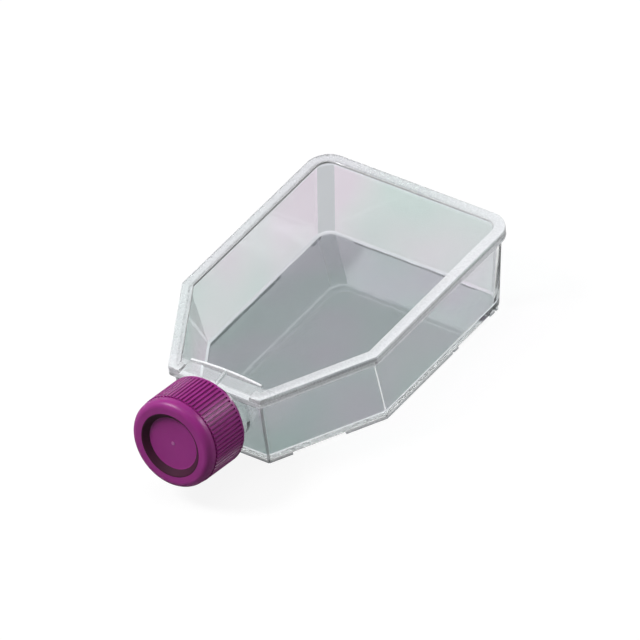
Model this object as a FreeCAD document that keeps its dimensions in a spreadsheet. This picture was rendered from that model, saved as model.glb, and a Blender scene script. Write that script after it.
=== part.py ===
# Cell culture flask, lying on its base, in millimetres.
# The frame: +Z up, +Y away from the neck, X across. The origin lies on the resting plane, in the
# middle of the foot's ridge under the front wall, so the neck and its cap lie at negative Y.
# Each piece is drawn from the front edge of the rim, and its placement brings it to that origin.
# Pieces: a moulded tray with a threaded neck, a top plate welded on its flange, and a screw cap.
import FreeCAD, Part
import math
import os
import Sketcher

SIZES = [
    # the whole body, over the rim
    ("body_width", 84.4, "over the rim, across"),
    ("body_length", 126.4, "front edge to back edge of the rim"),
    ("body_height", 34.0, "resting plane to the top of the rim"),
    ("front_width", 39.5, "flat front edge, where the neck stands"),
    ("shoulder_length", 40.3, "front edge back to the corner of the long side"),
    ("rim_corner_radius", 9.0, "the two back corners of the rim"),
    # tray
    ("wall_thickness", 1.6, "side and end walls"),
    ("floor_thickness", 1.7, "growth surface, clear of the resting plane"),
    ("foot_height", 1.4, "ridge under the floor"),
    ("foot_width", 1.3, "ridge under the floor"),
    ("foot_inset", 0.4, "ridge behind the wall's lower edge"),
    ("side_draft", 2.0, "degrees that the long walls lean out"),
    ("end_draft", 6.8, "degrees that the front and the shoulders lean out"),
    ("back_draft", 8.2, "degrees that the back wall leans out, outside"),
    ("inner_back_draft", 10.5, "degrees that the back wall leans out, inside"),
    ("flange_overhang", 1.6, "flange beyond the wall"),
    ("flange_thickness", 1.6, "flange that carries the top plate"),
    ("edge_round", 1.2, "upright outer edges at shoulders and front"),
    ("inner_round", 2.2, "upright inner edges at shoulders and front"),
    ("floor_round", 1.0, "floor to wall, inside"),
    ("base_round", 0.3, "floor to wall, outside"),
    ("shoulder_gap", 21.0, "break in the ridge along each shoulder"),
    ("side_gap", 20.0, "break in the ridge along each long side"),
    ("side_gap_place", 60.0, "shoulder corner to the middle of that break"),
    ("notch_width", 1.0, "small drain notches in the long ridges"),
    ("near_notch", 3.0, "notch before the long break, from its edge"),
    ("far_notch", 3.2, "notch behind the long break, from its edge"),
    ("corner_gap_y", 11.2, "ridge left out at the back corners, along the side"),
    ("corner_gap_x", 16.5, "ridge left out at the back corners, along the back"),
    # neck
    ("neck_rise", 9.5, "degrees that the neck points up"),
    ("neck_roof", 0.5, "flange left over the bore, at the front edge"),
    ("neck_trim", 0.1, "neck cut level with the flange, up to this far before it"),
    ("neck_length", 24.7, "front edge to mouth, along the neck"),
    ("neck_bore", 19.6, "diameter"),
    ("neck_wall", 2.4, "tube wall under the thread"),
    ("mouth_round", 0.6, "rounding of the lip"),
    ("collar_place", 3.2, "collar behind the cap, from the front edge"),
    ("collar_width", 1.4, "along the neck"),
    ("collar_height", 1.0, "over the tube"),
    ("thread_height", 1.5, "over the tube"),
    ("thread_pitch", 4.0, "one turn"),
    ("thread_turns", 2.2, "turns"),
    ("thread_root", 2.2, "width of the thread at the tube"),
    ("thread_crest", 0.9, "width of the thread at its top"),
    ("thread_start", 13.7, "from the mouth, back along the neck"),
    # top plate
    ("plate_thickness", 1.2, "window"),
    ("rim_raise", 0.9, "stacking rim over the window"),
    ("rim_width", 4.3, "stacking rim"),
    ("rim_round", 0.35, "edges of the rim"),
    ("weld_gap", 0.1, "melted weld line between flange and plate"),
    ("bar_length", 30.4, "cross bar of the T-shaped rib near the neck"),
    ("bar_place", 7.7, "cross bar behind the front edge"),
    ("bar_width", 0.9, "cross bar and stem"),
    ("bar_end_height", 0.5, "ends of the cross bar over the window"),
    ("bar_arch", 1.1, "middle of the cross bar over its ends"),
    ("front_drop", 0.7, "fall of the plate from the cross bar to the front edge"),
    ("stem_height", 0.5, "stem over the front edge"),
    # cap
    ("cap_wall", 2.65, "skirt, under the ribs"),
    ("cap_stand", 7.0, "front edge of the rim to the cap's rear edge, along the neck"),
    ("thread_clearance", 0.4, "cap bore outside the thread, radial"),
    ("rib_count", 68.0, "grip ribs"),
    ("rib_depth", 0.45, "flute between two ribs"),
    ("flute_mouth", 0.88, "width of a flute at the ribs' tops"),
    ("flute_floor", 0.45, "width of a flute at its bottom"),
    ("rear_band", 1.3, "plain band behind the ribs"),
    ("rear_chamfer", 0.4, "outer edge of that band"),
    ("ring_drop", 0.25, "front ring under the ribs' tops"),
    ("ring_length", 4.0, "smooth front ring"),
    ("groove_depth", 0.6, "groove between ring and ribs, under the ring"),
    ("groove_width", 0.7, "groove between ring and ribs"),
    ("ring_round", 2.5, "outer rounding of the front ring"),
    ("ring_width", 4.9, "outside of the ring to the mouth of the recess"),
    ("recess_slope", 2.0, "mouth of the recess to its flat, inwards"),
    ("recess_depth", 2.0, "crest of the ring to the flat"),
    ("recess_round", 0.6, "crest and foot of the recess's slope"),
    ("face_thickness", 1.2, "flat inside the recess"),
    ("gate_diameter", 1.4, "moulding gate in the middle of the flat"),
    ("gate_height", 0.2, "moulding gate"),
    ("plug_clearance", 0.3, "sealing plug inside the neck, radial"),
    ("plug_wall", 1.3, "sealing plug"),
    ("plug_length", 3.6, "sealing plug, from the underside of the face"),
    ("lip_clearance", 0.3, "cap face to the lip of the neck"),
]

doc = FreeCAD.newDocument("culture_flask")
sheet = doc.addObject("Spreadsheet::Sheet", "Sizes")
for row, (alias, value, meaning) in enumerate(SIZES, start=1):
    sheet.set(f"A{row}", alias)
    sheet.set(f"B{row}", str(value))
    sheet.set(f"C{row}", meaning)
    sheet.setAlias(f"B{row}", alias)
doc.recompute()


# Tolerances for picking faces and edges by their place and by the way they face.
SAME = 0.001
ALONG = 0.95


def number(formula):
    """The value that a formula over the sheet has now."""
    return float(sheet.evalExpression(formula))


# Heights, counted from the resting plane, and the slant of the shoulders.
FLOOR_TOP = "(Sizes.foot_height + Sizes.floor_thickness)"
PLATE_TOP = "(Sizes.body_height - Sizes.rim_raise)"
PLATE_BOTTOM = f"({PLATE_TOP} - Sizes.plate_thickness)"
FLANGE_TOP = f"({PLATE_BOTTOM} - Sizes.weld_gap)"
FLANGE_BOTTOM = f"({FLANGE_TOP} - Sizes.flange_thickness)"
SLANT = "atan((Sizes.body_width - Sizes.front_width) / 2 / Sizes.shoulder_length)"

# Radii of the neck, which the cap follows.
BORE_RADIUS = "(Sizes.neck_bore / 2)"
TUBE_RADIUS = f"({BORE_RADIUS} + Sizes.neck_wall)"
CREST_RADIUS = f"({TUBE_RADIUS} + Sizes.thread_height)"
NECK_HEIGHT = f"({FLANGE_TOP} - Sizes.neck_roof - {BORE_RADIUS} / cos(Sizes.neck_rise))"


def leaning_inset(draft, height, extra):
    """Distance inside the rim's edge of a leaning wall at a height, plus an extra."""
    return f"(Sizes.flange_overhang + ({FLANGE_BOTTOM} - {height}) * tan({draft}) + {extra})"


# Leans of the long sides, of the front and shoulders, and of the back.
OUTSIDE = ("Sizes.side_draft", "Sizes.end_draft", "Sizes.back_draft")
INSIDE = ("Sizes.side_draft", "Sizes.end_draft", "Sizes.inner_back_draft")


def wall_insets(drafts, height, extra="0"):
    """Insets of the long sides, of the front and shoulders, and of the back, at a height."""
    return tuple(leaning_inset(draft, height, extra) for draft in drafts)


def origin_plane(body, role):
    return next(plane for plane in body.Origin.OriginFeatures if plane.Role == role)


def origin_axis(body, role):
    return next(axis for axis in body.Origin.OriginFeatures if axis.Role == role)


def new_sketch(body, name, plane_role, offset_formulas=None):
    """A sketch on one of the body's own planes, moved by formulas such as {"Base.z": ...}."""
    sketch = body.newObject("Sketcher::SketchObject", name)
    sketch.AttachmentSupport = [(origin_plane(body, plane_role), "")]
    sketch.MapMode = "FlatFace"
    for place, formula in (offset_formulas or {}).items():
        sketch.setExpression(f"AttachmentOffset.{place}", formula)
    return sketch


def drive(sketch, kind, parts, formula):
    """A dimension of the sketch that follows a formula."""
    index = sketch.addConstraint(Sketcher.Constraint(kind, *parts, number(formula)))
    sketch.setExpression(f"Constraints[{index}]", formula)


def outline_points(insets):
    """Corners of the six-sided outline, inset from the rim at the sides, ends and back."""
    sides, ends, behind = insets
    half = f"(Sizes.body_width / 2 - {sides})"
    back = f"(Sizes.body_length - {behind})"
    shoulder = f"(Sizes.shoulder_length + ({ends} - {sides} * cos({SLANT})) / sin({SLANT}))"
    front_half = (f"(Sizes.body_width / 2 - ({ends} + (Sizes.shoulder_length - {ends})"
                  f" * sin({SLANT})) / cos({SLANT}))")
    return [
        (f"-{front_half}", ends),
        (front_half, ends),
        (half, shoulder),
        (half, back),
        (f"-{half}", back),
        (f"-{half}", shoulder),
    ]


def place_point(sketch, line, u, v):
    """The start of a line, held at two formulas, or on an axis of the sketch where one is 0."""
    for kind, formula, axis in (("DistanceX", u, -2), ("DistanceY", v, -1)):
        if formula == "0":
            sketch.addConstraint(Sketcher.Constraint("PointOnObject", line, 1, axis))
        else:
            drive(sketch, kind, (-1, 1, line, 1), formula)


def polygon_sketch(body, name, plane_role, loops, offset_formulas=None):
    """Closed polygons whose corners are pairs of formulas, counted from the sketch's origin."""
    sketch = new_sketch(body, name, plane_role, offset_formulas)
    for points in loops:
        places = [FreeCAD.Vector(number(u), number(v), 0) for u, v in points]
        lines = [sketch.addGeometry(Part.LineSegment(place, places[(i + 1) % len(places)]))
                 for i, place in enumerate(places)]
        for i, line in enumerate(lines):
            following = lines[(i + 1) % len(lines)]
            sketch.addConstraint(Sketcher.Constraint("Coincident", line, 2, following, 1))
        for line, (u, v) in zip(lines, points):
            place_point(sketch, line, u, v)
    return sketch


def feature(body, kind, name, **settings):
    made = body.newObject(f"PartDesign::{kind}", name)
    for key, value in settings.items():
        setattr(made, key, value)
    return made


def edges_where(base, test):
    """Names of the edges of a feature's shape that pass a test."""
    return [f"Edge{i}" for i, edge in enumerate(base.Shape.Edges, start=1) if test(edge)]


def round_edges(body, name, base, test, radius_formula):
    """A fillet on the edges of a feature that pass a test."""
    doc.recompute()
    names = edges_where(base, test)
    if not names:
        raise RuntimeError(f"{name}: no edge found")
    fillet = feature(body, "Fillet", name, Base=(base, names))
    fillet.setExpression("Radius", radius_formula)
    return fillet


def level(edge_or_face, height_formula):
    """Whether an edge or a face lies level at a height."""
    box = edge_or_face.BoundBox
    height = number(height_formula)
    return abs(box.ZMin - height) < SAME and abs(box.ZMax - height) < SAME


def spans(edge_or_face, low_formula, high_formula):
    """Whether an edge or a face runs from one height to another."""
    box = edge_or_face.BoundBox
    return abs(box.ZMin - number(low_formula)) < SAME and abs(box.ZMax - number(high_formula)) < SAME


def at_back(edge):
    return edge.BoundBox.YMin > number("Sizes.body_length") / 2


def which_wall(face):
    """The part of the outline that an upright face belongs to, by the way it faces."""
    normal = face.normalAt(0, 0)
    if abs(normal.x) > ALONG:
        return "sides"
    return "back" if normal.y > ALONG else "ends"


def lean_faces(body, name, base, low, high, wall, angle_formula):
    """A draft that narrows the upright faces of a wall, downwards from the upper height."""
    doc.recompute()
    neutral = [f"Face{i}" for i, face in enumerate(base.Shape.Faces, start=1) if level(face, high)]
    leaning = [f"Face{i}" for i, face in enumerate(base.Shape.Faces, start=1)
               if spans(face, low, high) and which_wall(face) == wall]
    draft = feature(body, "Draft", name, Base=(base, leaning), NeutralPlane=(base, neutral[:1]),
                    Reversed=True)
    draft.setExpression("Angle", angle_formula)
    return draft


def leaning_block(body, name, drafts, low, high, extra, small_round, bottom_round):
    """A closed block as wide as the walls, plus an extra inset, that narrows downwards.

    It gives the walls' outside, and the core that hollows them. Its edges are rounded."""
    insets = wall_insets(drafts, high, extra)
    outline = polygon_sketch(body, f"{name}_outline", "XY_Plane", [outline_points(insets)],
                             {"Base.z": high})
    block = feature(body, "Pad", name, Profile=outline, Reversed=True)
    block.setExpression("Length", f"{high} - {low}")
    leaning = block
    for wall, angle in zip(("sides", "ends", "back"), drafts):
        leaning = lean_faces(body, f"{name}_{wall}_lean", leaning, low, high, wall, angle)
    back = round_edges(
        body, f"{name}_back_corners", leaning,
        lambda edge: spans(edge, low, high) and at_back(edge),
        f"Sizes.rim_corner_radius - Sizes.flange_overhang - {extra}")
    front = round_edges(
        body, f"{name}_front_corners", back,
        lambda edge: spans(edge, low, high) and not at_back(edge)
        and edge.Curve.TypeId == "Part::GeomLine",
        small_round)
    return round_edges(
        body, f"{name}_bottom_edges", front, lambda edge: level(edge, low), bottom_round)


# ---- tray: floor, walls, flange, foot ridge and neck, moulded in one piece ----------------------
tray = doc.addObject("PartDesign::Body", "flask_tray")
tray.Label = "flask_tray"

# The walls lean outwards as they rise, so that the moulding leaves its mould.
walls = leaning_block(tray, "walls", OUTSIDE, "Sizes.foot_height", FLANGE_BOTTOM, "0",
                      "Sizes.edge_round", "Sizes.base_round")

NO_INSET = ("0", "0", "0")
flange_outline = polygon_sketch(tray, "flange_outline", "XY_Plane", [outline_points(NO_INSET)],
                                {"Base.z": FLANGE_BOTTOM})
flange = feature(tray, "Pad", "flange", Profile=flange_outline)
flange.setExpression("Length", "Sizes.flange_thickness")
flange_back = round_edges(
    tray, "flange_back_corners", flange,
    lambda edge: spans(edge, FLANGE_BOTTOM, FLANGE_TOP) and at_back(edge), "Sizes.rim_corner_radius")
flange_front = round_edges(
    tray, "flange_front_corners", flange_back,
    lambda edge: spans(edge, FLANGE_BOTTOM, FLANGE_TOP) and not at_back(edge), "Sizes.edge_round")


def neck_frame():
    """Sketch offsets that lay its first axis along the neck, pointing out of the mouth."""
    return {
        "Base.y": NECK_HEIGHT,
        "Rotation.Yaw": "180 - Sizes.neck_rise",
    }


NECK_ROOT = f"(-{wall_insets(INSIDE, FLOOR_TOP, 'Sizes.wall_thickness')[1]} - Sizes.neck_wall)"
COLLAR_END = "(Sizes.collar_place + Sizes.collar_width)"
COLLAR_RADIUS = f"({TUBE_RADIUS} + Sizes.collar_height)"
neck_profile = polygon_sketch(tray, "neck_profile", "YZ_Plane", [[
    (NECK_ROOT, "0"),
    ("Sizes.neck_length", "0"),
    ("Sizes.neck_length", TUBE_RADIUS),
    (COLLAR_END, TUBE_RADIUS),
    (COLLAR_END, COLLAR_RADIUS),
    ("Sizes.collar_place", COLLAR_RADIUS),
    ("Sizes.collar_place", TUBE_RADIUS),
    (NECK_ROOT, TUBE_RADIUS),
]], neck_frame())
neck = feature(tray, "Revolution", "neck", Profile=neck_profile, Angle=360.0)
neck.ReferenceAxis = (neck_profile, ["H_Axis"])

THREAD_SINK = f"({TUBE_RADIUS} - Sizes.neck_wall / 4)"
THREAD_PLACE = "(Sizes.neck_length - Sizes.thread_start)"
thread_profile = polygon_sketch(tray, "thread_profile", "YZ_Plane", [[
    (f"{THREAD_PLACE} - Sizes.thread_root / 2", THREAD_SINK),
    (f"{THREAD_PLACE} + Sizes.thread_root / 2", THREAD_SINK),
    (f"{THREAD_PLACE} + Sizes.thread_crest / 2", CREST_RADIUS),
    (f"{THREAD_PLACE} - Sizes.thread_crest / 2", CREST_RADIUS),
]], neck_frame())
doc.recompute()
thread = feature(tray, "AdditiveHelix", "neck_thread", Profile=thread_profile)
thread.ReferenceAxis = (thread_profile, ["H_Axis"])
thread.Mode = "pitch-turns-angle"
thread.setExpression("Pitch", "Sizes.thread_pitch")
thread.setExpression("Turns", "Sizes.thread_turns")

# The top of the neck is cut level with the flange where the plate passes over it.
TRIM_HALF = f"({TUBE_RADIUS} + Sizes.wall_thickness)"
trim_profile = polygon_sketch(tray, "neck_trim_outline", "XY_Plane", [[
    (f"-{TRIM_HALF}", "-Sizes.neck_trim"),
    (TRIM_HALF, "-Sizes.neck_trim"),
    (TRIM_HALF, "Sizes.shoulder_length"),
    (f"-{TRIM_HALF}", "Sizes.shoulder_length"),
]], {"Base.z": FLANGE_TOP})
trim = feature(tray, "Pocket", "neck_top_trim", Profile=trim_profile, Reversed=True)
trim.setExpression("Length", "Sizes.neck_bore")

# The inside: a cavity that leans like the walls and is open at the top, and the neck's bore.
core = doc.addObject("PartDesign::Body", "cavity_core")
leaning_block(core, "core", INSIDE, FLOOR_TOP, FLANGE_TOP, "Sizes.wall_thickness",
              "Sizes.inner_round", "Sizes.floor_round")
doc.recompute()
cavity = feature(tray, "Boolean", "cavity", Type="Cut")
cavity.setObjects([core])
tray.Tip = cavity

bore_profile = polygon_sketch(tray, "bore_profile", "YZ_Plane", [[
    (f"({NECK_ROOT} - Sizes.wall_thickness)", "0"),
    ("(Sizes.neck_length + Sizes.neck_wall)", "0"),
    ("(Sizes.neck_length + Sizes.neck_wall)", BORE_RADIUS),
    (f"({NECK_ROOT} - Sizes.wall_thickness)", BORE_RADIUS),
]], neck_frame())
bore = feature(tray, "Groove", "neck_bore_cut", Profile=bore_profile, Angle=360.0)
bore.ReferenceAxis = (bore_profile, ["H_Axis"])
doc.recompute()


def on_mouth(edge):
    """The two round edges of the neck's lip, which have their centre on the neck's axis."""
    rise = math.radians(number("Sizes.neck_rise"))
    length = number("Sizes.neck_length")
    centre = FreeCAD.Vector(0, -length * math.cos(rise), number(NECK_HEIGHT) + length * math.sin(rise))
    return edge.CenterOfMass.distanceToPoint(centre) < SAME


mouth = round_edges(tray, "neck_lip", bore, on_mouth, "Sizes.mouth_round")

# The foot: a ridge all round, broken along the shoulders and the long sides, with small notches,
# and left out at the two back corners.
base_insets = wall_insets(OUTSIDE, "Sizes.foot_height")
foot_outer = tuple(f"({inset} + Sizes.foot_inset)" for inset in base_insets)
foot_inner = tuple(f"({inset} + Sizes.foot_width)" for inset in foot_outer)
foot_outline = polygon_sketch(tray, "foot_outline", "XY_Plane", [outline_points(foot_outer)])
foot = feature(tray, "Pad", "foot", Profile=foot_outline)
foot.setExpression("Length", "Sizes.foot_height")
hollow_outline = polygon_sketch(tray, "foot_hollow_outline", "XY_Plane", [outline_points(foot_inner)])
hollow = feature(tray, "Pocket", "foot_hollow", Profile=hollow_outline, Reversed=True)
hollow.setExpression("Length", "Sizes.foot_height")

REACH = f"({foot_inner[1]} + Sizes.foot_width)"
SHOULDER_X = "((Sizes.body_width + Sizes.front_width) / 4)"
SHOULDER_Y = "(Sizes.shoulder_length / 2)"
HALF_GAP = "(Sizes.shoulder_gap / 2)"
SIDE_OUT = "(Sizes.body_width / 2)"
SIDE_IN = f"({SIDE_OUT} - 2 * {REACH})"
GAP_MIDDLE = "(Sizes.shoulder_length + Sizes.side_gap_place)"
GAP_START = f"({GAP_MIDDLE} - Sizes.side_gap / 2)"
GAP_END = f"({GAP_MIDDLE} + Sizes.side_gap / 2)"
CORNER_START = "(Sizes.body_length - Sizes.corner_gap_y)"


def shoulder_break(side):
    """A rectangle across the ridge in the middle of a shoulder."""
    corners = []
    for along, across in ((-1, -1), (1, -1), (1, 1), (-1, 1)):
        x = f"{SHOULDER_X} + {along} * {HALF_GAP} * sin({SLANT}) + {across} * {REACH} * cos({SLANT})"
        y = f"{SHOULDER_Y} + {along} * {HALF_GAP} * cos({SLANT}) - {across} * {REACH} * sin({SLANT})"
        corners.append((f"{side} * ({x})", y))
    return corners


def side_break(side, start, end, inner=SIDE_IN):
    """A rectangle across the ridge of a long side, from one distance to another."""
    return [(f"{side} * {SIDE_OUT}", start), (f"{side} * {SIDE_OUT}", end),
            (f"{side} * {inner}", end), (f"{side} * {inner}", start)]


def notch(side, middle):
    return side_break(side, f"{middle} - Sizes.notch_width / 2", f"{middle} + Sizes.notch_width / 2")


breaks = []
for side in (-1, 1):
    breaks.append(shoulder_break(side))
    breaks.append(side_break(side, GAP_START, GAP_END))
    breaks.append(notch(side, f"{GAP_START} - Sizes.near_notch"))
    breaks.append(notch(side, f"{GAP_END} + Sizes.far_notch"))
    breaks.append(side_break(side, CORNER_START, "Sizes.body_length",
                             f"({SIDE_OUT} - Sizes.corner_gap_x)"))
break_outlines = polygon_sketch(tray, "foot_break_outlines", "XY_Plane", breaks)
foot_breaks = feature(tray, "Pocket", "foot_breaks", Profile=break_outlines, Reversed=True)
foot_breaks.setExpression("Length", "Sizes.foot_height")


# ---- top plate: the clear window, with its raised stacking rim and the T-shaped rib --------------
plate = doc.addObject("PartDesign::Body", "top_plate")
plate.Label = "top_plate"

plate_outline = polygon_sketch(plate, "plate_outline", "XY_Plane", [outline_points(NO_INSET)],
                               {"Base.z": PLATE_BOTTOM})
slab = feature(plate, "Pad", "plate", Profile=plate_outline)
slab.setExpression("Length", "Sizes.plate_thickness + Sizes.rim_raise")
plate_back = round_edges(
    plate, "plate_back_corners", slab,
    lambda edge: spans(edge, PLATE_BOTTOM, "Sizes.body_height") and at_back(edge),
    "Sizes.rim_corner_radius")
plate_front = round_edges(
    plate, "plate_front_corners", plate_back,
    lambda edge: spans(edge, PLATE_BOTTOM, "Sizes.body_height") and not at_back(edge),
    "Sizes.edge_round")
window_outline = polygon_sketch(plate, "window_outline", "XY_Plane",
                                [outline_points(("Sizes.rim_width",) * 3)],
                                {"Base.z": "Sizes.body_height"})
window = feature(plate, "Pocket", "window", Profile=window_outline)
window.setExpression("Length", "Sizes.rim_raise")
window_back = round_edges(
    plate, "window_back_corners", window,
    lambda edge: spans(edge, PLATE_TOP, "Sizes.body_height") and at_back(edge),
    "Sizes.rim_corner_radius - Sizes.rim_width")
rim_edges = round_edges(
    plate, "rim_edges", window_back, lambda edge: level(edge, "Sizes.body_height"),
    "Sizes.rim_round")

# Between the ends of the cross bar the rim is left out, and the plate falls towards the neck.
STRIP_FALL = "(Sizes.front_drop * (1 + Sizes.rim_width / Sizes.bar_place))"
strip_profile = polygon_sketch(plate, "front_strip_profile", "YZ_Plane", [[
    ("-Sizes.rim_width", f"{PLATE_TOP} - {STRIP_FALL}"),
    ("Sizes.bar_place", PLATE_TOP),
    ("Sizes.bar_place", "Sizes.body_height + Sizes.rim_raise"),
    ("-Sizes.rim_width", "Sizes.body_height + Sizes.rim_raise"),
]])
strip = feature(plate, "Pocket", "front_strip", Profile=strip_profile, Midplane=True)
strip.setExpression("Length", "Sizes.bar_length")

# The T-shaped rib: a cross bar with an arched top, and a stem that falls to the front edge.
HALF_BAR = "(Sizes.bar_length / 2)"
BAR_END = f"({PLATE_TOP} + Sizes.bar_end_height)"
BAR_TOP = f"({BAR_END} + Sizes.bar_arch)"
bar_profile = new_sketch(plate, "bar_profile", "XZ_Plane", {"Base.z": "-Sizes.bar_place"})
x_end, z_foot = number(HALF_BAR), number(PLATE_TOP) - number("Sizes.plate_thickness") / 2
z_end, z_top = number(BAR_END), number(BAR_TOP)
bar_corners = [FreeCAD.Vector(*corner, 0) for corner in (
    (x_end, z_end), (x_end, z_foot), (-x_end, z_foot), (-x_end, z_end))]
for start, end in zip(bar_corners, bar_corners[1:]):
    bar_profile.addGeometry(Part.LineSegment(start, end))
bar_arc = bar_profile.addGeometry(
    Part.Arc(bar_corners[3], FreeCAD.Vector(0, z_top, 0), bar_corners[0]))
for rule in (
    ("Coincident", 0, 2, 1, 1), ("Coincident", 1, 2, 2, 1),
    ("Vertical", 0), ("Vertical", 2),
    ("Symmetric", 1, 1, 1, 2, -2), ("Equal", 0, 2),
):
    bar_profile.addConstraint(Sketcher.Constraint(*rule))
for end in (1, 2):
    point = bar_profile.getPoint(bar_arc, end)
    line, which = (0, 1) if point.x > 0 else (2, 2)
    bar_profile.addConstraint(Sketcher.Constraint("Coincident", bar_arc, end, line, which))
drive(bar_profile, "DistanceX", (-1, 1, 0, 1), HALF_BAR)
drive(bar_profile, "DistanceY", (-1, 1, 0, 1), BAR_END)
drive(bar_profile, "DistanceY", (-1, 1, 0, 2), f"({PLATE_TOP} - Sizes.plate_thickness / 2)")
drive(bar_profile, "Radius", (bar_arc,),
      f"(({HALF_BAR} * {HALF_BAR} / Sizes.bar_arch + Sizes.bar_arch) / 2)")
bar = feature(plate, "Pad", "cross_bar", Profile=bar_profile, Midplane=True)
bar.setExpression("Length", "Sizes.bar_width")

STEM_FOOT = "Sizes.bar_width / 2"
stem_profile = polygon_sketch(plate, "stem_profile", "YZ_Plane", [[
    (STEM_FOOT, f"({PLATE_BOTTOM} + {PLATE_TOP} - Sizes.front_drop) / 2"),
    ("Sizes.bar_place", f"({PLATE_BOTTOM} + {PLATE_TOP} - Sizes.front_drop) / 2"),
    ("Sizes.bar_place", BAR_TOP),
    (STEM_FOOT, f"({PLATE_TOP} - Sizes.front_drop + Sizes.stem_height)"),
]])
stem = feature(plate, "Pad", "stem", Profile=stem_profile, Midplane=True)
stem.setExpression("Length", "Sizes.bar_width")


# ---- cap: a one-piece screw cap with a sealing plug; its own Z axis runs out of the mouth --------
cap = doc.addObject("PartDesign::Body", "screw_cap")
cap.Label = "screw_cap"

CAP_BORE = f"({CREST_RADIUS} + Sizes.thread_clearance)"
FLUTE_RADIUS = f"({CAP_BORE} + Sizes.cap_wall)"
CAP_RADIUS = f"({FLUTE_RADIUS} + Sizes.rib_depth)"
CAP_ROOF = "(Sizes.neck_length - Sizes.cap_stand + Sizes.lip_clearance)"
RECESS_FLOOR = f"({CAP_ROOF} + Sizes.face_thickness)"
CAP_LENGTH = f"({RECESS_FLOOR} + Sizes.recess_depth)"
RING_START = f"({CAP_LENGTH} - Sizes.ring_length)"
RIBS_END = f"({RING_START} - Sizes.groove_width)"
RING_RADIUS = f"({CAP_RADIUS} - Sizes.ring_drop)"
GROOVE_RADIUS = f"({RING_RADIUS} - Sizes.groove_depth)"
MOUTH_RADIUS = f"({RING_RADIUS} - Sizes.ring_width)"
FLAT_RADIUS = f"({MOUTH_RADIUS} - Sizes.recess_slope)"
PLUG_RADIUS = f"({BORE_RADIUS} - Sizes.plug_clearance)"
PLUG_INSIDE = f"({PLUG_RADIUS} - Sizes.plug_wall)"
PLUG_END = f"({CAP_ROOF} - Sizes.plug_length)"
cap_profile = polygon_sketch(cap, "cap_profile", "XZ_Plane", [[
    (CAP_BORE, "0"),
    (CAP_RADIUS, "0"),
    (CAP_RADIUS, RIBS_END),
    (GROOVE_RADIUS, RIBS_END),
    (GROOVE_RADIUS, RING_START),
    (RING_RADIUS, RING_START),
    (RING_RADIUS, CAP_LENGTH),
    (MOUTH_RADIUS, CAP_LENGTH),
    (FLAT_RADIUS, RECESS_FLOOR),
    ("0", RECESS_FLOOR),
    ("0", CAP_ROOF),
    (PLUG_INSIDE, CAP_ROOF),
    (PLUG_INSIDE, PLUG_END),
    (PLUG_RADIUS, PLUG_END),
    (PLUG_RADIUS, CAP_ROOF),
    (CAP_BORE, CAP_ROOF),
]])
cap_solid = feature(cap, "Revolution", "cap_solid", Profile=cap_profile, Angle=360.0)
cap_solid.ReferenceAxis = (cap_profile, ["V_Axis"])


def ring_at(edge, radius_formula, height_formula):
    """Whether an edge is the circle of a radius at a height of the cap."""
    return (edge.Curve.TypeId == "Part::GeomCircle"
            and abs(edge.Curve.Radius - number(radius_formula)) < SAME
            and abs(edge.Curve.Center.z - number(height_formula)) < SAME)


front_round = round_edges(
    cap, "ring_outer_round", cap_solid, lambda edge: ring_at(edge, RING_RADIUS, CAP_LENGTH),
    "Sizes.ring_round")
recess_round = round_edges(
    cap, "recess_rounds", front_round,
    lambda edge: ring_at(edge, MOUTH_RADIUS, CAP_LENGTH) or ring_at(edge, FLAT_RADIUS, RECESS_FLOOR),
    "Sizes.recess_round")
doc.recompute()
rear_edge = feature(cap, "Chamfer", "rear_edge", Base=(recess_round, edges_where(
    recess_round, lambda edge: ring_at(edge, CAP_RADIUS, "0"))))
rear_edge.setExpression("Size", "Sizes.rear_chamfer")

flute_outline = polygon_sketch(cap, "flute_outline", "XY_Plane", [[
    (FLUTE_RADIUS, "-Sizes.flute_floor / 2"),
    (f"({CAP_RADIUS} + Sizes.rib_depth)", "-(2 * Sizes.flute_mouth - Sizes.flute_floor) / 2"),
    (f"({CAP_RADIUS} + Sizes.rib_depth)", "(2 * Sizes.flute_mouth - Sizes.flute_floor) / 2"),
    (FLUTE_RADIUS, "Sizes.flute_floor / 2"),
]], {"Base.z": "Sizes.rear_band"})
flute = feature(cap, "Pocket", "flute", Profile=flute_outline, Reversed=True)
flute.setExpression("Length", f"{RIBS_END} - Sizes.rear_band")
doc.recompute()
flutes = feature(cap, "PolarPattern", "flutes", Originals=[flute], Angle=360.0)
flutes.Axis = (origin_axis(cap, "Z_Axis"), [""])
flutes.setExpression("Occurrences", "Sizes.rib_count")
cap.Tip = flutes

gate_outline = new_sketch(cap, "gate_outline", "XY_Plane", {"Base.z": RECESS_FLOOR})
gate_outline.addGeometry(Part.Circle(
    FreeCAD.Vector(0, 0, 0), FreeCAD.Vector(0, 0, 1), number("Sizes.gate_diameter") / 2))
gate_outline.addConstraint(Sketcher.Constraint("Coincident", 0, 3, -1, 1))
drive(gate_outline, "Diameter", (0,), "Sizes.gate_diameter")
gate = feature(cap, "Pad", "gate_mark", Profile=gate_outline)
gate.setExpression("Length", "Sizes.gate_height")

# ---- placements ----------------------------------------------------------------------------------
FRONT_RIDGE = f"({foot_outer[1]} + Sizes.foot_width / 2)"
for body in (tray, plate):
    body.setExpression("Placement.Base.y", f"-{FRONT_RIDGE}")

cap.Placement = FreeCAD.Placement(FreeCAD.Vector(), FreeCAD.Rotation(FreeCAD.Vector(1, 0, 0), 90))
cap.setExpression("Placement.Rotation.Angle", "90 - Sizes.neck_rise")
cap.setExpression("Placement.Base.y", f"-{FRONT_RIDGE} - Sizes.cap_stand * cos(Sizes.neck_rise)")
cap.setExpression("Placement.Base.z", f"{NECK_HEIGHT} + Sizes.cap_stand * sin(Sizes.neck_rise)")

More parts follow.
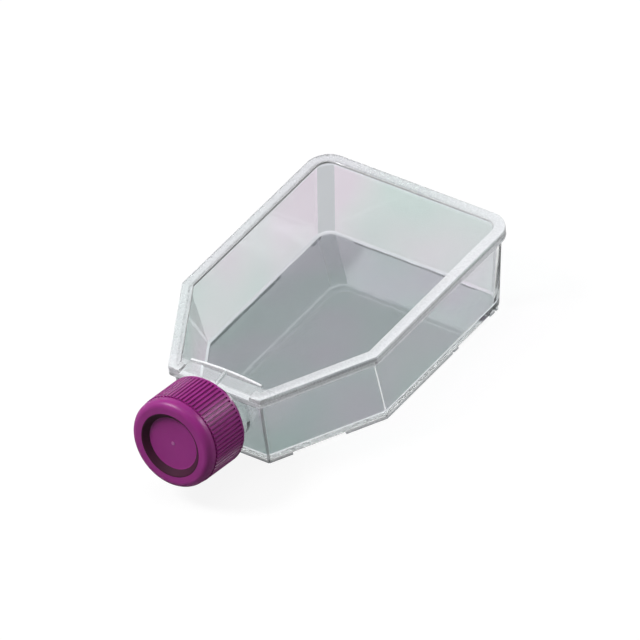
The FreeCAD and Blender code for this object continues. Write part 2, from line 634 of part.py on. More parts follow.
# ---- checks and files ----------------------------------------------------------------------------
doc.recompute()
pieces = [tray, plate, cap]
for thing in doc.Objects:
    if "Invalid" in thing.State or "Error" in thing.State:
        raise RuntimeError(f"{thing.Name} failed: {thing.State}")
for cut in (trim, cavity, bore, hollow, foot_breaks, window, strip, flute):
    if cut.Shape.Volume >= cut.BaseFeature.Shape.Volume:
        raise RuntimeError(f"{cut.Name} cut nothing")
for piece in pieces:
    if piece.Shape.isNull() or not piece.Shape.isValid() or len(piece.Shape.Solids) != 1:
        raise RuntimeError(f"{piece.Label} isn't one valid solid")

os.makedirs("parts", exist_ok=True)
for piece in pieces:
    piece.Shape.exportStep(f"parts/{piece.Label}.step")
    box = piece.Shape.BoundBox
    print(f"{piece.Label}: {piece.Shape.Volume / 1000:.2f} cm3, z {box.ZMin:.2f} to {box.ZMax:.2f}")
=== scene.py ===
# A cell culture flask, lying on its base: a clear moulded tray with a threaded neck, a clear plate
# welded on top of it, and a purple screw cap. Metres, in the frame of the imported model.
import math
import bmesh
import bpy
from mathutils import Euler, Matrix, Vector


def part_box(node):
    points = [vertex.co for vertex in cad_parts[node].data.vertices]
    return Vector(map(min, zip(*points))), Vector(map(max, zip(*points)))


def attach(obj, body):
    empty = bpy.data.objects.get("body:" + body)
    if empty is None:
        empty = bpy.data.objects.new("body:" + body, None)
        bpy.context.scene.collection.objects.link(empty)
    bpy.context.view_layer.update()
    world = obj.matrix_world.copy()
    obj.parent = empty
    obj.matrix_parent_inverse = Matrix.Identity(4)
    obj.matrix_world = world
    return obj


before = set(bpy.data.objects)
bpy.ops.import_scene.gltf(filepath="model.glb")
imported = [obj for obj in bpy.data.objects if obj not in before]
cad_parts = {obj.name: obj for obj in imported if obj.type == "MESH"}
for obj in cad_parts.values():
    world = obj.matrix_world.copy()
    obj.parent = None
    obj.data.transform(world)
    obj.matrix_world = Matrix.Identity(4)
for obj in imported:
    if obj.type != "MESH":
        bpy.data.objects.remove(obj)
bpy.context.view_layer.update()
bpy.ops.object.select_all(action="DESELECT")


# --- Tray -------------------------------------------------------------------------------------
# The tray is one shot of clear polystyrene: floor, leaning walls, flange and threaded neck. The
# plastic is slightly grey in depth, and shows faint green and lilac patches where it froze under
# stress. Its faces are polished by the mould, with a slow waviness.
def add_node(material, kind, **settings):
    """A new node of a material's tree, with its properties set."""
    node = material.node_tree.nodes.new(kind)
    for setting, value in settings.items():
        setattr(node, setting, value)
    return node


def new_material(name):
    """An empty node material and its output node."""
    material = bpy.data.materials.new(name)
    material.use_nodes = True
    material.node_tree.nodes.clear()
    return material, add_node(material, "ShaderNodeOutputMaterial")


def blotches(material, scale, detail, stops):
    """Cloudy patches over the piece, as a colour ramp over noise. stops are (place, colour)."""
    links = material.node_tree.links
    place = add_node(material, "ShaderNodeTexCoord")
    noise = add_node(material, "ShaderNodeTexNoise")
    noise.inputs["Scale"].default_value = scale
    noise.inputs["Detail"].default_value = detail
    ramp = add_node(material, "ShaderNodeValToRGB")
    for index, (spot, colour) in enumerate(stops):
        if index > 1:
            ramp.color_ramp.elements.new(spot)
        ramp.color_ramp.elements[index].position = spot
        ramp.color_ramp.elements[index].color = (*colour, 1.0)
    links.new(place.outputs["Object"], noise.inputs["Vector"])
    links.new(noise.outputs["Fac"], ramp.inputs["Fac"])
    return ramp.outputs["Color"]


def waviness(material, scale, height, strength):
    """A shallow bump, height in metres, for moulded faces that aren't quite flat."""
    links = material.node_tree.links
    place = add_node(material, "ShaderNodeTexCoord")
    noise = add_node(material, "ShaderNodeTexNoise")
    noise.inputs["Scale"].default_value = scale
    noise.inputs["Detail"].default_value = 2.0
    bump = add_node(material, "ShaderNodeBump")
    bump.inputs["Distance"].default_value = height
    bump.inputs["Strength"].default_value = strength
    links.new(place.outputs["Object"], noise.inputs["Vector"])
    links.new(noise.outputs["Fac"], bump.inputs["Height"])
    return bump.outputs["Normal"]


POLYSTYRENE_INDEX = 1.59
CLEAR = (0.975, 0.985, 0.985)
CHAMBER_MIDDLE = (0.0, 0.058, 0.017)
GROWTH_LEVEL = 0.00315
ROUND_LEVEL = 0.0041
CORNER_PLACE = 0.098
FOOT_LEVEL = 0.0016
STEP_LEVEL = 0.0332
NECK_SIDE = -0.003
FRONT_HALF = 0.0155
FOOT_TOP = 0.00135
WALL_TOP = 0.0306
LEDGE_TOP = 0.0319
FLANGE_LOW, FLANGE_HIGH = 0.0303, 0.0330
RIM_TOP = 0.0360
PLATE_FRONT = 0.0005
FRONT_EDGES = (-0.01, 0.006)
# Strength of the painted glow on the plastic's edges.
PAINTED_GLOW_STRENGTH = 0.95
HAZE_COLOUR = (0.95, 0.96, 0.98, 1.0)
TRAPPED_TURNS = 8.5
GREY_IN_DEPTH = 12.0
GROWTH_GLOSS = 2.6


def calculate(material, operation, first, second):
    """One step of arithmetic on two outputs or numbers."""
    step = add_node(material, "ShaderNodeMath", operation=operation)
    for socket, value in zip(step.inputs, (first, second)):
        if isinstance(value, float):
            socket.default_value = value
        else:
            material.node_tree.links.new(value, socket)
    return step.outputs["Value"]


def surface_point(material):
    """The place of a point, x, y and z, and the direction of its face, out of the plastic."""
    links = material.node_tree.links
    place = add_node(material, "ShaderNodeTexCoord")
    point = add_node(material, "ShaderNodeSeparateXYZ")
    links.new(place.outputs["Object"], point.inputs["Vector"])
    side = add_node(material, "ShaderNodeNewGeometry")
    turn = calculate(material, "MULTIPLY", side.outputs["Backfacing"], -2.0)
    outwards = add_node(material, "ShaderNodeVectorMath", operation="SCALE")
    links.new(place.outputs["Normal"], outwards.inputs["Vector"])
    links.new(calculate(material, "ADD", turn, 1.0), outwards.inputs["Scale"])
    return place.outputs["Object"], point.outputs, outwards.outputs["Vector"]


def between(material, value, low, high):
    """1 where a value lies between two numbers, else 0."""
    above = calculate(material, "GREATER_THAN", value, low)
    return calculate(material, "MULTIPLY", above, calculate(material, "LESS_THAN", value, high))


def chamber_faces(material):
    """1 on the faces that look into the chamber, 0 outside."""
    links = material.node_tree.links
    place, point, outwards = surface_point(material)
    inwards = add_node(material, "ShaderNodeVectorMath", operation="SUBTRACT")
    inwards.inputs[0].default_value = CHAMBER_MIDDLE
    links.new(place, inwards.inputs[1])
    facing = add_node(material, "ShaderNodeVectorMath", operation="DOT_PRODUCT")
    links.new(inwards.outputs["Vector"], facing.inputs[0])
    links.new(outwards, facing.inputs[1])
    looks_in = calculate(material, "GREATER_THAN", facing.outputs["Value"], 0.0)
    above_foot = calculate(material, "GREATER_THAN", point["Z"], FOOT_LEVEL)
    behind_neck = calculate(material, "GREATER_THAN", point["Y"], NECK_SIDE)
    inside = calculate(material, "MULTIPLY", looks_in, above_foot)
    return calculate(material, "MULTIPLY", inside, behind_neck)


def back_corners(material):
    """1 on the upright rounds at the two back corners, where the wall is thick."""
    point, outwards = surface_point(material)[1:]
    facing = add_node(material, "ShaderNodeSeparateXYZ")
    material.node_tree.links.new(outwards, facing.inputs["Vector"])
    slant = between(material, calculate(material, "ABSOLUTE", facing.outputs["X"], 0.0), 0.2, 0.97)
    at_back = calculate(material, "GREATER_THAN", point["Y"], CORNER_PLACE)
    return calculate(material, "MULTIPLY", slant, at_back)


def mix_colours(material, share, low, high):
    """low where share is 0, high where it is 1. low and high are outputs or colours."""
    blend = add_node(material, "ShaderNodeMix", data_type="RGBA")
    material.node_tree.links.new(share, blend.inputs["Factor"])
    for socket, value in ((blend.inputs[6], low), (blend.inputs[7], high)):
        if isinstance(value, tuple):
            socket.default_value = (*value, 1.0)
        else:
            material.node_tree.links.new(value, socket)
    return blend.outputs[2]


def steepness(material):
    """1 on upright faces, 0 on level ones."""
    tilt = add_node(material, "ShaderNodeSeparateXYZ")
    material.node_tree.links.new(surface_point(material)[2], tilt.inputs["Vector"])
    return between(material, tilt.outputs["Z"], -0.85, 0.85)


def painted_edge_glow(material, clear, share):
    """Painted glow: mixes a pale emission over a shader by share, in place of the light that
    travels inside the plastic and comes out at its rounds, rims and upper edges.
    """
    links = material.node_tree.links
    glow = add_node(material, "ShaderNodeEmission")
    glow.inputs["Color"].default_value = (0.93, 0.96, 1.0, 1.0)
    glow.inputs["Strength"].default_value = PAINTED_GLOW_STRENGTH
    blend = add_node(material, "ShaderNodeMixShader")
    if isinstance(share, float):
        blend.inputs["Fac"].default_value = share
    else:
        links.new(share, blend.inputs["Fac"])
    links.new(clear, blend.inputs[1])
    links.new(glow.outputs["Emission"], blend.inputs[2])
    return blend.outputs["Shader"]


def frosted(material, clear, share):
    """Turns the parts with a share above 0 milky, with fine marks across them."""
    links = material.node_tree.links
    white = add_node(material, "ShaderNodeBsdfDiffuse")
    white.inputs["Color"].default_value = HAZE_COLOUR
    marks = blotches(material, 1600.0, 1.0, [(0.35, (0.75,) * 3), (0.65, (1.0,) * 3)])
    blend = add_node(material, "ShaderNodeMixShader")
    links.new(calculate(material, "MULTIPLY", share, marks), blend.inputs["Fac"])
    links.new(clear, blend.inputs[1])
    links.new(white.outputs["BSDF"], blend.inputs[2])
    return blend.outputs["Shader"]


def clear_plastic(name, green, neutral, lilac, corner, floor_shade, frost_and_painted_light):
    """Clear polystyrene. Its cast lies on the faces inside, so that edges and feet stay bright:
    three tints on the walls, corner in the two back corners, and two tints on the floor, which are
    dark grey as painted shade, for the shadowed ground seen through the floor. The last argument
    gives its milky parts. The round at the floor's edge, the ledge at the wall's top and the raised
    rim carry a painted glow, which on the rim grows towards the right. Lamps shine straight through
    it, and so does light that has been trapped in the wall for many turns, as scratches let it out."""
    material, output = new_material(name)
    links = material.node_tree.links
    plastic = add_node(material, "ShaderNodeBsdfPrincipled")
    plastic.inputs["IOR"].default_value = POLYSTYRENE_INDEX
    plastic.inputs["Transmission Weight"].default_value = 1.0
    inside = chamber_faces(material)
    walls = blotches(material, 22.0, 1.0, [(0.36, green), (0.5, neutral), (0.62, lilac)])
    height = surface_point(material)[1]["Z"]
    on_floor = calculate(material, "LESS_THAN", height, GROWTH_LEVEL)
    # Painted shade: the floor's two tints are dark grey, for the shadowed ground seen through the
    # floor. The round at its edge stays clear.
    painted_floor_shade = blotches(material, 26.0, 1.0, [(0.40, floor_shade[0]), (0.60, floor_shade[1])])
    cast = mix_colours(material, back_corners(material), walls, corner)
    cast = mix_colours(material, on_floor, cast, painted_floor_shade)
    cast = mix_colours(material, between(material, height, GROWTH_LEVEL, ROUND_LEVEL), cast, CLEAR)
    tint = mix_colours(material, inside, CLEAR, cast)
    links.new(tint, plastic.inputs["Base Color"])
    polish = blotches(material, 160.0, 3.0, [(0.3, (0.015,) * 3), (0.7, (0.05,) * 3)])
    links.new(polish, plastic.inputs["Roughness"])
    links.new(calculate(material, "MULTIPLY", inside, on_floor), plastic.inputs["Coat Weight"])
    plastic.inputs["Coat Roughness"].default_value = 0.02
    plastic.inputs["Coat IOR"].default_value = GROWTH_GLOSS
    links.new(waviness(material, 55.0, 0.0004, 0.25), plastic.inputs["Normal"])
    passing = add_node(material, "ShaderNodeBsdfTransparent")
    links.new(tint, passing.inputs["Color"])
    ray = add_node(material, "ShaderNodeLightPath")
    trapped = calculate(material, "GREATER_THAN", ray.outputs["Ray Depth"], TRAPPED_TURNS)
    straight = calculate(material, "MAXIMUM", ray.outputs["Is Shadow Ray"], trapped)
    both = add_node(material, "ShaderNodeMixShader")
    links.new(straight, both.inputs["Fac"])
    # Painted glow inside on the round at the floor's edge and the ledge at the wall's top, and on
    # the right half of the raised rim, growing towards the right: painted light on that side.
    rounds = between(material, height, GROWTH_LEVEL, ROUND_LEVEL)
    edges = calculate(material, "ADD", rounds, between(material, height, WALL_TOP, LEDGE_TOP))
    painted_glow_share = calculate(material, "MULTIPLY", edges, calculate(material, "MULTIPLY", inside, 0.7))
    point = surface_point(material)[1]
    raised = between(material, height, STEP_LEVEL, RIM_TOP)
    on_plate = calculate(material, "GREATER_THAN", point["Y"], PLATE_FRONT)
    rim = calculate(material, "MULTIPLY", on_plate, raised)
    rim = calculate(material, "MULTIPLY", rim, calculate(material, "MULTIPLY", point["X"], 10.0))
    painted_glow_share = calculate(material, "MAXIMUM", painted_glow_share, rim)
    body = painted_edge_glow(material, plastic.outputs["BSDF"], painted_glow_share)
    links.new(frosted(material, body, frost_and_painted_light(material)), both.inputs[1])
    links.new(passing.outputs["BSDF"], both.inputs[2])
    links.new(both.outputs["Shader"], output.inputs["Surface"])
    depth = add_node(material, "ShaderNodeVolumeAbsorption")
    depth.inputs["Color"].default_value = (0.06, 0.12, 0.12, 1.0)
    depth.inputs["Density"].default_value = GREY_IN_DEPTH
    links.new(depth.outputs["Volume"], output.inputs["Volume"])
    return material


def finish_node(name, material):
    """Gives a piece of the frame its material in every slot."""
    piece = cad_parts[name]
    if not piece.data.materials:
        piece.data.materials.append(material)
    for slot in range(len(piece.data.materials)):
        piece.data.materials[slot] = material
    return piece


def front_corners(material):
    """1 on the two upright edges beside the neck, between the front and the shoulders."""
    point, outwards = surface_point(material)[1:]
    facing = add_node(material, "ShaderNodeSeparateXYZ")
    material.node_tree.links.new(outwards, facing.inputs["Vector"])
    turned = between(material, calculate(material, "ABSOLUTE", facing.outputs["X"], 0.0), 0.1, 0.82)
    ahead = calculate(material, "LESS_THAN", facing.outputs["Y"], -0.5)
    far_out = calculate(
        material, "GREATER_THAN", calculate(material, "ABSOLUTE", point["X"], 0.0), FRONT_HALF
    )
    wall = between(material, point["Z"], FOOT_LEVEL, FLANGE_LOW)
    ahead = calculate(material, "MULTIPLY", ahead, between(material, point["Y"], *FRONT_EDGES))
    corner = calculate(material, "MULTIPLY", turned, ahead)
    return calculate(material, "MULTIPLY", corner, calculate(material, "MULTIPLY", far_out, wall))


def tray_frost_and_painted_light(material):
    """The foot ridge, the flange's top and outer edge, and the edges beside the neck, whose white
    is a painted highlight. The walls are milky as well, but only to glossy rays: a painted
    reflection that lightens their mirror image in the growth surface, and less so at the back
    corners."""
    height = surface_point(material)[1]["Z"]
    chamber = chamber_faces(material)
    outside = calculate(material, "SUBTRACT", 1.0, chamber)
    upright = calculate(material, "MULTIPLY", steepness(material), outside)
    flange = between(material, height, FLANGE_LOW, FLANGE_HIGH)
    flange = calculate(material, "MULTIPLY", flange, upright)
    foot = between(material, height, -0.001, FOOT_TOP)
    edges = calculate(material, "MULTIPLY", calculate(material, "ADD", flange, foot), 0.5)
    # Painted reflection: a white haze on the walls inside that only glossy rays see.
    ray = add_node(material, "ShaderNodeLightPath")
    walls = between(material, height, ROUND_LEVEL, WALL_TOP)
    walls = calculate(material, "MULTIPLY", chamber, walls)
    bounced = calculate(
        material, "GREATER_THAN", ray.outputs["Is Glossy Ray"], ray.outputs["Is Transmission Ray"]
    )
    mirrored = calculate(material, "MULTIPLY", walls, calculate(material, "MULTIPLY", bounced, 0.8))
    thick = calculate(material, "MULTIPLY", back_corners(material), 0.6)
    mirrored = calculate(material, "SUBTRACT", mirrored, thick)
    ledge = calculate(material, "MULTIPLY", between(material, height, 0.0315, 0.0325), 0.5)
    # Painted highlight: a white stripe on the upright edges beside the neck.
    painted_highlight_beside_neck = calculate(material, "MULTIPLY", front_corners(material), 0.7)
    milky = calculate(material, "MAXIMUM", edges, ledge)
    milky = calculate(material, "MAXIMUM", milky, painted_highlight_beside_neck)
    return calculate(material, "MAXIMUM", milky, mirrored)


tray_plastic = clear_plastic(
    "clear tray",
    green=(0.63, 0.76, 0.73),
    neutral=(0.74, 0.755, 0.775),
    lilac=(0.82, 0.70, 0.81),
    corner=(0.46, 0.49, 0.51),
    # Painted shade: the dark grey tints of the floor.
    floor_shade=((0.26, 0.345, 0.345), (0.31, 0.325, 0.375)),
    frost_and_painted_light=tray_frost_and_painted_light,
)
finish_node("flask_tray", tray_plastic)


# --- Top plate --------------------------------------------------------------------------------
# The top plate is a second moulding of the same plastic, welded on the flange after the tray is
# made. Its raised rim holds the foot of the flask above when flasks are stacked.
RIB_FRONT, RIB_BACK = 0.0011, 0.0022


def plate_frost_and_painted_light(material):
    """The top of the raised rim and of the T-shaped rib, and all the plate's upright edges. The
    rib's bar is white as a painted highlight, and the rim's haze grows towards the right, as
    painted light on that side.
    """
    point = surface_point(material)[1]
    raised = calculate(material, "GREATER_THAN", point["Z"], STEP_LEVEL)
    apron = calculate(material, "LESS_THAN", point["Y"], RIB_FRONT)
    # Painted highlight: the bar of the T-shaped rib turns white.
    painted_highlight_bar = between(material, point["Y"], RIB_FRONT, RIB_BACK)
    painted_highlight_bar = calculate(material, "MULTIPLY", raised, painted_highlight_bar)
    middle = between(material, point["X"], -FRONT_HALF, FRONT_HALF)
    painted_highlight_bar = calculate(material, "MULTIPLY", painted_highlight_bar, middle)
    # Painted light on the right side: the rim's haze grows towards +X, on top of its even frost.
    right = calculate(material, "MAXIMUM", calculate(material, "MULTIPLY", point["X"], 12.0), 0.0)
    rim = calculate(material, "ADD", right, 1.0)
    rim = calculate(material, "MULTIPLY", raised, rim)
    haze = calculate(material, "MAXIMUM", rim, calculate(material, "MULTIPLY", apron, 0.7))
    edges = calculate(material, "MULTIPLY", steepness(material), 0.6)
    edges = calculate(material, "MAXIMUM", edges, painted_highlight_bar)
    return calculate(material, "MAXIMUM", calculate(material, "MULTIPLY", haze, 0.33), edges)


plate_plastic = clear_plastic(
    "clear plate",
    green=(0.90, 0.97, 0.95),
    neutral=(0.95, 0.96, 0.97),
    lilac=(0.97, 0.94, 0.98),
    corner=(0.95, 0.96, 0.97),
    floor_shade=((0.95, 0.96, 0.97), (0.95, 0.96, 0.97)),
    frost_and_painted_light=plate_frost_and_painted_light,
)
finish_node("top_plate", plate_plastic)


# --- Weld seam --------------------------------------------------------------------------------
# The weld between flange and plate is a thin bead of melted plastic that froze cloudy, all the
# way round under the raised rim, with fine marks across it from the welding horn.
FRONT_WIDTH = 0.0395
SHOULDER_LENGTH = 0.0403
BACK_RADIUS = 0.009
SEAM_WIDTH = 0.0024
SEAM_CLEARANCE = 0.00001
SEAM_GAP = 0.0001
BEVEL_STEPS = 10

plate_low, plate_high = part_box("top_plate")
flange_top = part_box("flask_tray")[0].z + 0.0318


def add_seam():
    """The bead: a flat ring with a thickness, along the flask's outline."""
    width = plate_high.x - plate_low.x
    length = plate_high.y - plate_low.y
    middle = (plate_low + plate_high) / 2
    bottom = flange_top + SEAM_CLEARANCE
    bpy.ops.mesh.primitive_plane_add(size=1.0, location=(middle.x, middle.y, bottom))
    seam = bpy.context.object
    seam.name = "weld_seam"
    seam.scale = (width, length, 1.0)
    bpy.ops.object.transform_apply(location=True, rotation=True, scale=True)
    bpy.ops.object.mode_set(mode="EDIT")
    for side in (-1.0, 1.0):
        bpy.ops.mesh.select_all(action="SELECT")
        corner = Vector((side * FRONT_WIDTH / 2, plate_low.y, flange_top))
        across = Vector((side * (width - FRONT_WIDTH) / 2, SHOULDER_LENGTH, 0.0))
        outwards = Vector((side * across.y, -side * across.x, 0.0))
        bpy.ops.mesh.bisect(plane_co=corner, plane_no=outwards, clear_outer=True)
    build = bmesh.from_edit_mesh(seam.data)
    for vertex in build.verts:
        vertex.select_set(vertex.co.y > plate_high.y - BACK_RADIUS)
    build.select_flush(True)
    bmesh.update_edit_mesh(seam.data)
    bpy.ops.mesh.bevel(offset=BACK_RADIUS, segments=BEVEL_STEPS, affect="VERTICES")
    bpy.ops.mesh.select_all(action="SELECT")
    bpy.ops.mesh.inset(thickness=SEAM_WIDTH, use_boundary=True)
    bpy.ops.mesh.delete(type="FACE")
    bpy.ops.mesh.select_all(action="SELECT")
    bpy.ops.mesh.extrude_region_move(
        TRANSFORM_OT_translate={"value": (0.0, 0.0, SEAM_GAP - 2 * SEAM_CLEARANCE)}
    )
    bpy.ops.mesh.select_all(action="SELECT")
    bpy.ops.mesh.normals_make_consistent(inside=False)
    bpy.ops.object.mode_set(mode="OBJECT")
    return seam


def cloudy_plastic(name):
    """Melted plastic, white and half see-through, with a painted glow mixed in: an emission over
    the cloudy shader, as if lit from within by the light in the plate.
    """
    material, output = new_material(name)
    links = material.node_tree.links
    bright = add_node(material, "ShaderNodeBsdfDiffuse")
    glow = add_node(material, "ShaderNodeBsdfTranslucent")
    through = add_node(material, "ShaderNodeBsdfTransparent")
    for shader in (bright, glow):
        shader.inputs["Color"].default_value = (0.97, 0.98, 0.985, 1.0)
    cloud = add_node(material, "ShaderNodeMixShader")
    both = add_node(material, "ShaderNodeMixShader")
    cloud.inputs["Fac"].default_value = 0.12
    links.new(bright.outputs["BSDF"], cloud.inputs[1])
    links.new(glow.outputs["BSDF"], cloud.inputs[2])
    marks = blotches(material, 900.0, 2.0, [(0.35, (0.85,) * 3), (0.65, (1.0,) * 3)])
    links.new(marks, both.inputs["Fac"])
    links.new(through.outputs["BSDF"], both.inputs[1])
    # Painted glow: 0.45 of the cloudy shader becomes an emission.
    links.new(painted_edge_glow(material, cloud.outputs["Shader"], 0.45), both.inputs[2])
    links.new(both.outputs["Shader"], output.inputs["Surface"])
    return material


seam = add_seam()
seam.data.materials.append(cloudy_plastic("weld seam"))
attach(seam, "flask")


# --- Screw cap --------------------------------------------------------------------------------
# The cap is moulded in purple polyethylene, dull and finely pebbled. It has fine ribs for grip
# and a shallow round recess in its face, with the mark of the moulding gate in the middle.
CAP_FOOT = (0.0, -0.00608, 0.02136)
CAP_TILT = math.radians(9.5)
CAP_AXIS = (0.0, -math.cos(CAP_TILT), math.sin(CAP_TILT))
SLOPE_RADII, SLOPE_PLACE = (0.0098, 0.0124), (0.0263, 0.0285)
FLUTE_RADII, FLUTE_PLACE = (0.0160, 0.01698), (0.0085, 0.0232)
GATE_RADIUS = 0.00072


def round_cap(material):
    """The distance of a point from the cap's axis, and its place along the neck."""
    links = material.node_tree.links
    place = add_node(material, "ShaderNodeTexCoord")
    arm = add_node(material, "ShaderNodeVectorMath", operation="SUBTRACT")
    links.new(place.outputs["Object"], arm.inputs[0])
    arm.inputs[1].default_value = CAP_FOOT
    along = add_node(material, "ShaderNodeVectorMath", operation="DOT_PRODUCT")
    links.new(arm.outputs["Vector"], along.inputs[0])
    along.inputs[1].default_value = CAP_AXIS
    across = add_node(material, "ShaderNodeVectorMath", operation="CROSS_PRODUCT")
    links.new(arm.outputs["Vector"], across.inputs[0])
    across.inputs[1].default_value = CAP_AXIS
    radius = add_node(material, "ShaderNodeVectorMath", operation="LENGTH")
    links.new(across.outputs["Vector"], radius.inputs[0])
    return radius.outputs["Value"], along.outputs["Value"]


def purple_plastic(name):
    """Dull purple polyethylene, a little cloudy in colour and finely pebbled. The flutes and the
    slope round the recess are painted near black, as painted shade, and the slope is duller."""
    material, output = new_material(name)
    links = material.node_tree.links
    plastic = add_node(material, "ShaderNodeBsdfPrincipled")
    plastic.inputs["IOR"].default_value = 1.5
    plastic.inputs["Specular IOR Level"].default_value = 0.35
    plastic.inputs["Subsurface Weight"].default_value = 0.05
    plastic.inputs["Subsurface Scale"].default_value = 0.001
    body = blotches(
        material, 70.0, 3.0, [(0.3, (0.31, 0.024, 0.220)), (0.7, (0.38, 0.034, 0.275))]
    )
    # Painted shade: a near-black purple for the slope round the recess and for the flutes.
    painted_shade_colour = blotches(
        material, 70.0, 3.0, [(0.3, (0.035, 0.002, 0.018)), (0.7, (0.055, 0.003, 0.028))]
    )
    radius, along = round_cap(material)
    slope = calculate(
        material, "MULTIPLY",
        between(material, radius, *SLOPE_RADII), between(material, along, *SLOPE_PLACE),
    )
    flutes = calculate(
        material, "MULTIPLY",
        between(material, radius, *FLUTE_RADII), between(material, along, *FLUTE_PLACE),
    )
    # The painted shade lies fully on the recess slope and at a share of 0.35 in the flutes.
    painted_shade_mask = calculate(material, "MAXIMUM", slope, calculate(material, "MULTIPLY", flutes, 0.35))
    gate = calculate(material, "LESS_THAN", radius, GATE_RADIUS)
    body = mix_colours(material, gate, body, (0.50, 0.16, 0.42))
    links.new(mix_colours(material, painted_shade_mask, body, painted_shade_colour), plastic.inputs["Base Color"])
    polish = blotches(material, 900.0, 2.0, [(0.3, (0.30,) * 3), (0.7, (0.42,) * 3)])
    polish = mix_colours(material, slope, polish, (0.75, 0.75, 0.75))
    links.new(polish, plastic.inputs["Roughness"])
    links.new(waviness(material, 1400.0, 0.00006, 0.35), plastic.inputs["Normal"])
    links.new(plastic.outputs["BSDF"], output.inputs["Surface"])
    return material


finish_node("screw_cap", purple_plastic("purple cap"))


# --- Stage ------------------------------------------------------------------------------------
# A plain floor, which the flask's foot stands on. It shows white to the eye and through the
# plastic, with a faint shadow, and lights dull surfaces as a dark grey one.
FLOOR_SIZE = 12.0
FLOOR_DROP = 0.00005
PAPER_WHITE = 1.27
PAPER_SHARE = 0.7

bpy.ops.mesh.primitive_plane_add(size=FLOOR_SIZE, location=(0, 0, -FLOOR_DROP))
floor = bpy.context.object
floor.name = "floor"
paint, paint_output = new_material("white floor")
matt = add_node(paint, "ShaderNodeBsdfDiffuse")
path = add_node(paint, "ShaderNodeLightPath")
grey = blotches(paint, 3.0, 2.0, [(0.3, (0.43, 0.432, 0.435)), (0.7, (0.44, 0.441, 0.442))])
dulled = calculate(paint, "MULTIPLY", path.outputs["Is Diffuse Ray"], 0.6)
grey = mix_colours(paint, dulled, grey, (0.06, 0.06, 0.06))
paint.node_tree.links.new(grey, matt.inputs["Color"])
paper = add_node(paint, "ShaderNodeEmission")
paper.inputs["Strength"].default_value = PAPER_WHITE
lit = add_node(paint, "ShaderNodeMixShader")
through = calculate(paint, "GREATER_THAN", path.outputs["Transmission Depth"], 0.5)
through = calculate(paint, "SUBTRACT", through, path.outputs["Is Diffuse Ray"])
in_view = calculate(paint, "MAXIMUM", path.outputs["Is Camera Ray"], through)
paint.node_tree.links.new(calculate(paint, "MULTIPLY", in_view, PAPER_SHARE), lit.inputs["Fac"])
paint.node_tree.links.new(matt.outputs["BSDF"], lit.inputs[1])
paint.node_tree.links.new(paper.outputs["Emission"], lit.inputs[2])
paint.node_tree.links.new(lit.outputs["Shader"], paint_output.inputs["Surface"])
floor.data.materials.append(paint)

# The room: white at the horizon, falling off to grey overhead. The stops are height and strength.
# It shows so to the eye and in the plastic, and lights dull surfaces by a smaller share.
ROOM_LIGHT = [(0.0, 1.0), (0.3, 0.6), (0.5, 0.15), (1.0, 0.08)]
ROOM_SHARE = 0.3

room = bpy.data.worlds.new("room")
bpy.context.scene.world = room
room.use_nodes = True
nodes, links = room.node_tree.nodes, room.node_tree.links
direction = nodes.new("ShaderNodeTexCoord")
split = nodes.new("ShaderNodeSeparateXYZ")
fade = nodes.new("ShaderNodeValToRGB")
for index, (height, strength) in enumerate(ROOM_LIGHT):
    if index > 1:
        fade.color_ramp.elements.new(height)
    fade.color_ramp.elements[index].position = height
    fade.color_ramp.elements[index].color = (strength, strength, strength, 1.0)
links.new(direction.outputs["Generated"], split.inputs["Vector"])
links.new(split.outputs["Z"], fade.inputs["Fac"])
links.new(fade.outputs["Color"], nodes["Background"].inputs["Color"])
ray = nodes.new("ShaderNodeLightPath")
seen = ray.outputs["Is Camera Ray"]
for kind in ("Is Glossy Ray", "Is Transmission Ray"):
    either = nodes.new("ShaderNodeMath")
    either.operation = "MAXIMUM"
    links.new(seen, either.inputs[0])
    links.new(ray.outputs[kind], either.inputs[1])
    seen = either.outputs["Value"]
strength = nodes.new("ShaderNodeMapRange")
strength.inputs["To Min"].default_value = ROOM_SHARE
links.new(seen, strength.inputs["Value"])
links.new(strength.outputs["Result"], nodes["Background"].inputs["Strength"])


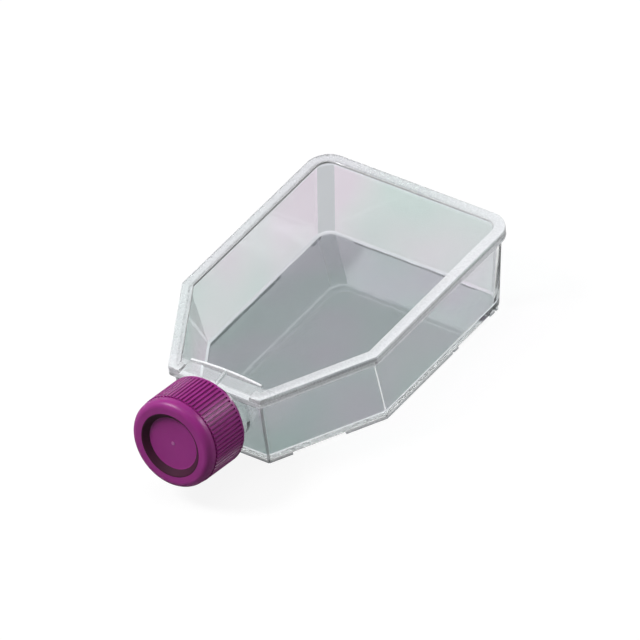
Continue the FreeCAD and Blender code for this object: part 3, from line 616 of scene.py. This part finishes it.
# --- Lamps ------------------------------------------------------------------------------------
# Three soft boxes: one to the left in front, one overhead and one behind on the right.
def softbox(name, bearing, height, distance, size, power, mirrored=True):
    """A square lamp aimed at the flask. bearing and height are its direction, in degrees.
    mirrored is False for a lamp that glossy faces don't mirror."""
    turn, lift = math.radians(bearing), math.radians(height)
    towards = Vector(
        (math.sin(turn) * math.cos(lift), -math.cos(turn) * math.cos(lift), math.sin(lift))
    )
    lamp = bpy.data.objects.new(name, bpy.data.lights.new(name, "AREA"))
    bpy.context.scene.collection.objects.link(lamp)
    lamp.data.size = size
    lamp.data.energy = power
    lamp.visible_glossy = mirrored
    lamp.location = AIM + towards * distance
    lamp.rotation_euler = towards.to_track_quat("Z", "Y").to_euler()
    return lamp


AIM = Vector((-0.0002, 0.05708, 0.017))
softbox("key", -50.0, 50.0, 1.1, 0.35, 9.0)
softbox("overhead", 180.0, 85.0, 1.2, 1.1, 6.5, mirrored=False)
softbox("back", 146.0, 25.0, 1.1, 0.3, 3.0)


# --- Camera -----------------------------------------------------------------------------------
# A long lens from the front right, above, rolled a little. Angles in degrees, lengths in metres,
# and lens and sensor in millimetres.
BEARING, HEIGHT, ROLL = 39.14, 39.32, -6.52
DISTANCE = 6.0
LENS, SENSOR = 953.0, 36.0

camera = bpy.data.objects.new("camera", bpy.data.cameras.new("camera"))
bpy.context.scene.collection.objects.link(camera)
camera.data.lens = LENS
camera.data.sensor_width = SENSOR
facing = Euler((math.radians(90.0 - HEIGHT), 0.0, math.radians(BEARING))).to_matrix()
facing = facing @ Matrix.Rotation(math.radians(ROLL), 3, "Z")
camera.rotation_euler = facing.to_euler()
camera.location = AIM + facing @ Vector((0.0, 0.0, DISTANCE))
bpy.context.scene.camera = camera
bpy.context.scene.view_settings.view_transform = "Standard"
bpy.context.scene.cycles.max_bounces = 32
bpy.context.scene.cycles.transmission_bounces = 32
bpy.context.scene.cycles.glossy_bounces = 16
bpy.context.scene.cycles.transparent_max_bounces = 32
bpy.context.scene.cycles.caustics_reflective = False
bpy.context.scene.cycles.caustics_refractive = False
